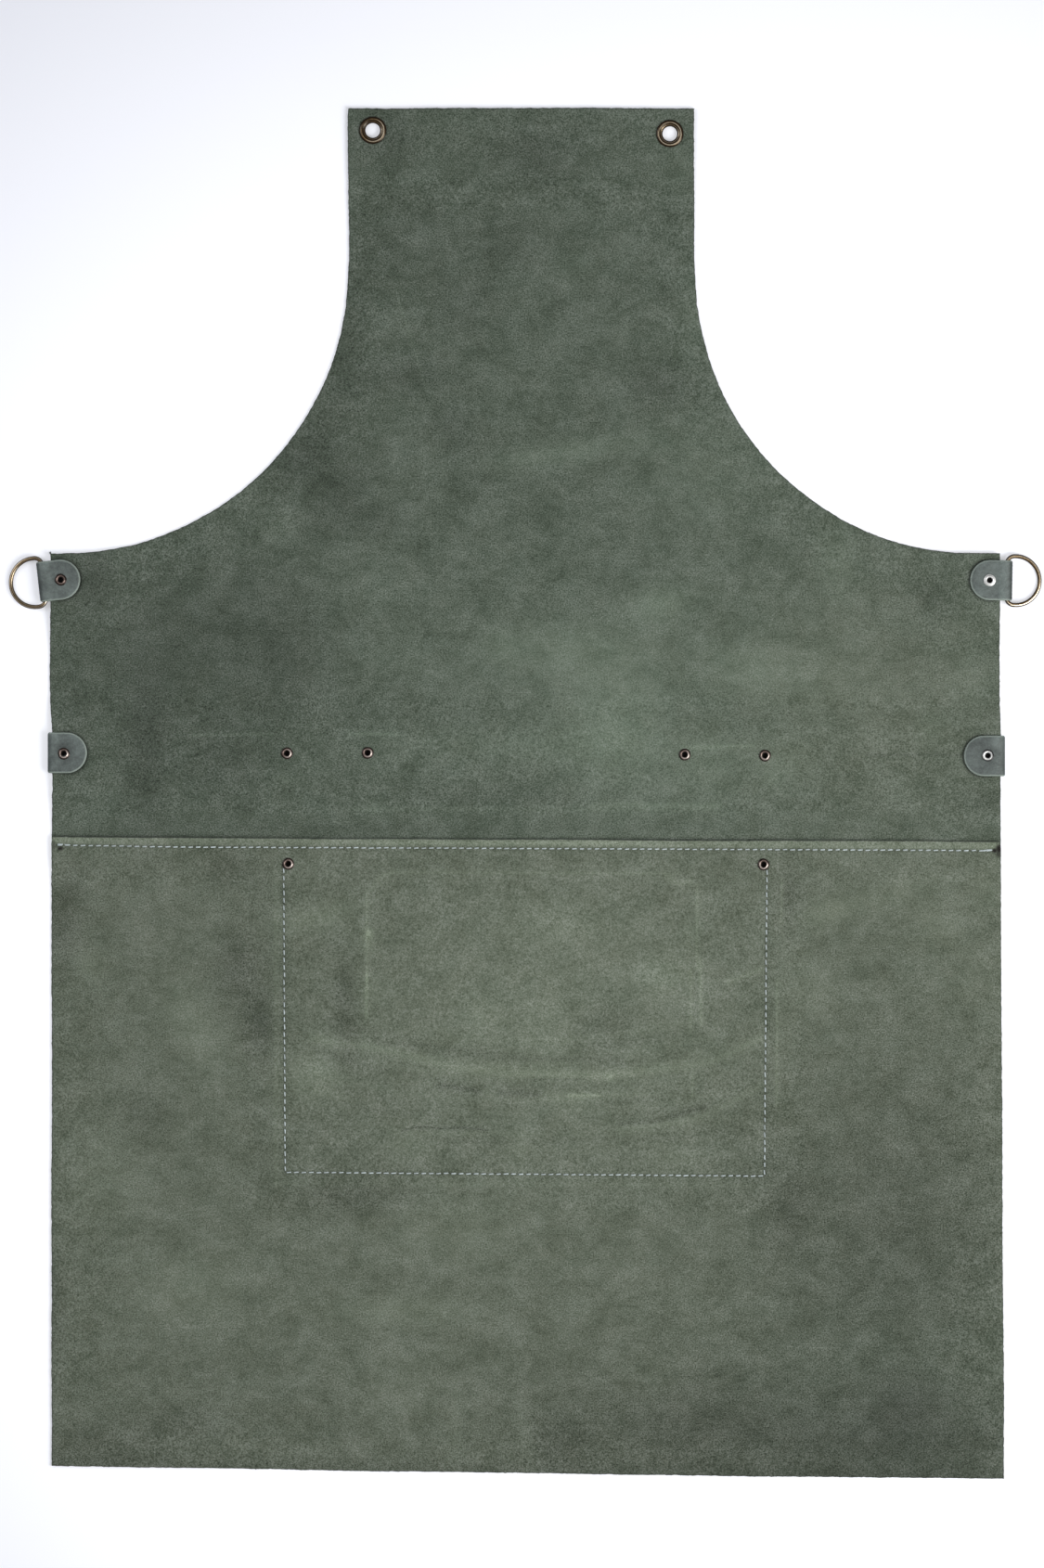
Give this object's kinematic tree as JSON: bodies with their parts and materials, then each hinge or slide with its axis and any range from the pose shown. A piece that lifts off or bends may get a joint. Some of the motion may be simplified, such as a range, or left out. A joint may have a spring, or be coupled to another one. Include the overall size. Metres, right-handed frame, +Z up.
{
  "type": "leather grill apron",
  "caption": "Leather grill apron lying face down: lapped bib and skirt panels, front pocket and tool strap, eyelets, riveted tabs and swinging D-rings.",
  "frame": {"origin": "middle of the apron's outline, on the surface that it lies on", "axes": "+Z up out of the rough back, +Y towards the top of the bib, +X to the right seen from above"},
  "size_m": [0.6523, 0.8658, 0.0089],
  "materials": {
    "suede": "rough flesh side, grey green, mottled",
    "smooth_leather": "smooth grain side, grey green",
    "antique_brass": "antiqued, rubbed bright on the crests",
    "antique_copper": "dark antiqued copper",
    "nickel": "bright nickel, slightly worn"
  },
  "bodies": {
    "apron": {"bib_panel": "suede", "skirt_panel": "suede", "front_pocket": "smooth_leather", "tool_strap": "smooth_leather", "ring_tab_left": "smooth_leather", "ring_tab_right": "smooth_leather", "eyelet_left": "antique_brass", "eyelet_right": "antique_brass", "rivet_ring_tab_left": "antique_copper", "rivet_ring_tab_right": "nickel", "rivet_strap_end_left": "antique_copper", "rivet_strap_end_right": "nickel", "rivet_strap_1": "antique_copper", "rivet_strap_2": "antique_copper", "rivet_strap_3": "antique_copper", "rivet_strap_4": "antique_copper", "rivet_pocket_left": "antique_copper", "rivet_pocket_right": "antique_copper"},
    "ring_left": {"d_ring_left": "antique_brass"},
    "ring_right": {"d_ring_right": "antique_brass"}
  },
  "joints": [
    {"name": "ring_left_swing", "type": "hinge", "parent": "apron", "child": "ring_left", "pos_m": [-0.3039, 0.1339, 0.0044], "axis": [-0.1132, 0.9936, 0], "range_deg": [-110, 125]},
    {"name": "ring_right_swing", "type": "hinge", "parent": "apron", "child": "ring_right", "pos_m": [0.3039, 0.1346, 0.0044], "axis": [-0.0175, -0.9998, 0], "range_deg": [-110, 125]}
  ]
}
